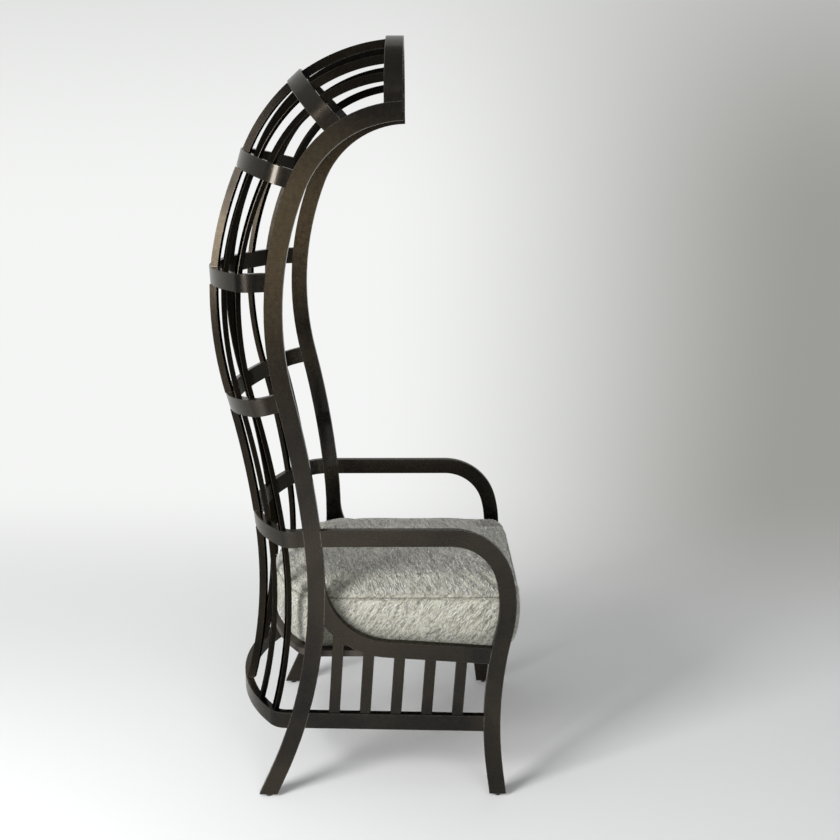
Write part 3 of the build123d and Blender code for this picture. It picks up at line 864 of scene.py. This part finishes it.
# Spreads the tufts over the hide and lays each one down along the hair's lie there
def tuftTree(tuft):
    tree = bpy.data.node_groups.new("layTufts", "GeometryNodeTree")
    tree.interface.new_socket(name="Geometry", in_out="INPUT", socket_type="NodeSocketGeometry")
    tree.interface.new_socket(name="Geometry", in_out="OUTPUT", socket_type="NodeSocketGeometry")
    entry, leave = addNode(tree, "NodeGroupInput"), addNode(tree, "NodeGroupOutput")

    def vectorMath(operation, *values):
        made = addNode(tree, "ShaderNodeVectorMath", operation=operation)
        sockets = (made.inputs[0], made.inputs[3]) if operation == "SCALE" else made.inputs
        for value, socket in zip(values, sockets):
            if isinstance(value, bpy.types.NodeSocket):
                tree.links.new(value, socket)
            else:
                socket.default_value = value
        return made.outputs["Value" if operation == "DOT_PRODUCT" else "Vector"]

    def randomValue(kind, low, high, seed):
        made = addNode(tree, "FunctionNodeRandomValue", data_type=kind)
        offset = 0 if kind == "FLOAT_VECTOR" else 2
        made.inputs[offset].default_value = low
        made.inputs[offset + 1].default_value = high
        made.inputs["Seed"].default_value = seed
        return made.outputs[0 if kind == "FLOAT_VECTOR" else 1]

    scatter = addNode(tree, "GeometryNodeDistributePointsOnFaces", distribute_method="RANDOM")
    normal = addNode(tree, "GeometryNodeInputNormal").outputs[0]
    parts = addNode(tree, "ShaderNodeSeparateXYZ")
    tree.links.new(normal, parts.inputs[0])
    position = addNode(tree, "ShaderNodeSeparateXYZ")
    tree.links.new(addNode(tree, "GeometryNodeInputPosition").outputs[0], position.inputs[0])
    fromSeam = doMath(tree, "SUBTRACT", position.outputs["Z"], seamHeight)
    outside = doMath(tree, "GREATER_THAN", parts.outputs["Z"], hide["undersideLimit"])
    besideSeam = doMath(tree, "GREATER_THAN", doMath(tree, "ABSOLUTE", fromSeam), hide["seamClear"])
    aboveHem = doMath(tree, "GREATER_THAN", position.outputs["Z"], coverLow.z + hide["hemClear"])
    shown = doMath(tree, "MULTIPLY", doMath(tree, "MULTIPLY", outside, besideSeam), aboveHem)
    tree.links.new(entry.outputs[0], scatter.inputs["Mesh"])
    tree.links.new(shown, scatter.inputs["Selection"])
    scatter.inputs["Density"].default_value = hide["tuftDensity"]
    scatter.inputs["Seed"].default_value = hide["seed"]

    facing = scatter.outputs["Normal"]
    facingParts = addNode(tree, "ShaderNodeSeparateXYZ")
    tree.links.new(facing, facingParts.inputs[0])
    run = hide["sideRun"]
    sideLie = addNode(tree, "ShaderNodeCombineXYZ")
    tree.links.new(doMath(tree, "MULTIPLY", facingParts.outputs["Y"], -run), sideLie.inputs["X"])
    tree.links.new(doMath(tree, "MULTIPLY", facingParts.outputs["X"], run), sideLie.inputs["Y"])
    sideLie.inputs["Z"].default_value = hide["sideRise"]
    isTop = mapRange(tree, facingParts.outputs["Z"], *hide["topTufts"])
    blend = addNode(tree, "ShaderNodeMix", data_type="VECTOR")
    tree.links.new(isTop, blend.inputs[0])
    leading = vectorMath("SCALE", sideLie.outputs[0], doMath(tree, "SIGN", fromSeam))
    tree.links.new(leading, blend.inputs[4])
    blend.inputs[5].default_value = hide["topLie"]
    stray = hide["tuftStray"]
    loose = randomValue("FLOAT_VECTOR", (-stray, -stray, -stray), (stray, stray, stray), 1)
    lie = vectorMath("ADD", blend.outputs[1], loose)
    outward = vectorMath("SCALE", facing, vectorMath("DOT_PRODUCT", lie, facing))
    flat = vectorMath("NORMALIZE", vectorMath("SUBTRACT", lie, outward))
    lift = vectorMath("SCALE", facing, randomValue("FLOAT", *hide["tuftLift"], 2))
    heading = vectorMath("ADD", flat, lift)

    turned = addNode(tree, "FunctionNodeAlignRotationToVector", axis="Z")
    tree.links.new(heading, turned.inputs["Vector"])
    size = addNode(tree, "ShaderNodeCombineXYZ")
    width = randomValue("FLOAT", *hide["tuftWidth"], 3)
    tree.links.new(width, size.inputs["X"])
    tree.links.new(width, size.inputs["Y"])
    tree.links.new(randomValue("FLOAT", *hide["tuftLength"], 4), size.inputs["Z"])
    source = addNode(tree, "GeometryNodeObjectInfo")
    source.inputs["Object"].default_value = tuft
    place = addNode(tree, "GeometryNodeInstanceOnPoints")
    tree.links.new(scatter.outputs["Points"], place.inputs["Points"])
    tree.links.new(source.outputs["Geometry"], place.inputs["Instance"])
    tree.links.new(turned.outputs[0], place.inputs["Rotation"])
    tree.links.new(size.outputs[0], place.inputs["Scale"])
    patches = addNode(tree, "ShaderNodeTexNoise", {"Scale": 38.0, "Detail": 3.0})
    patchTone = mapRange(tree, patches.outputs[0], 0.3, 0.7, *hide["patchTone"])
    tone = doMath(tree, "ADD", patchTone, randomValue("FLOAT", *hide["looseTone"], 5))
    note = addNode(tree, "GeometryNodeStoreNamedAttribute", data_type="FLOAT", domain="INSTANCE")
    note.inputs["Name"].default_value = "tone"
    tree.links.new(place.outputs[0], note.inputs["Geometry"])
    tree.links.new(tone, note.inputs["Value"])
    real = addNode(tree, "GeometryNodeRealizeInstances")
    tree.links.new(note.outputs[0], real.inputs[0])
    tree.links.new(real.outputs[0], leave.inputs[0])
    return tree


def layHair(name, skin):
    tuft = makeTuft()
    made = newObject(name, skin.data.copy())
    made.data.materials.clear()
    layer = made.modifiers.new("tufts", "NODES")
    layer.node_group = tuftTree(tuft)
    bakeModifiers(made)
    bpy.data.objects.remove(tuft)
    return made


hairStrokes = hairStrokesGroup()
seatCushion.data.materials.append(makeHide())
cushionSeam.data.materials.append(makeSeamLeather())
cushionHair = layHair("cushion_hair", seatCushion)
cushionHair.data.materials.append(makeHair())
print("hair laid:", len(cushionHair.data.polygons), "faces")

for piece in (seatCushion, cushionSeam, cushionHair):
    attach(piece, "cushion")
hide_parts("cushion_cover", "cushion_foam")
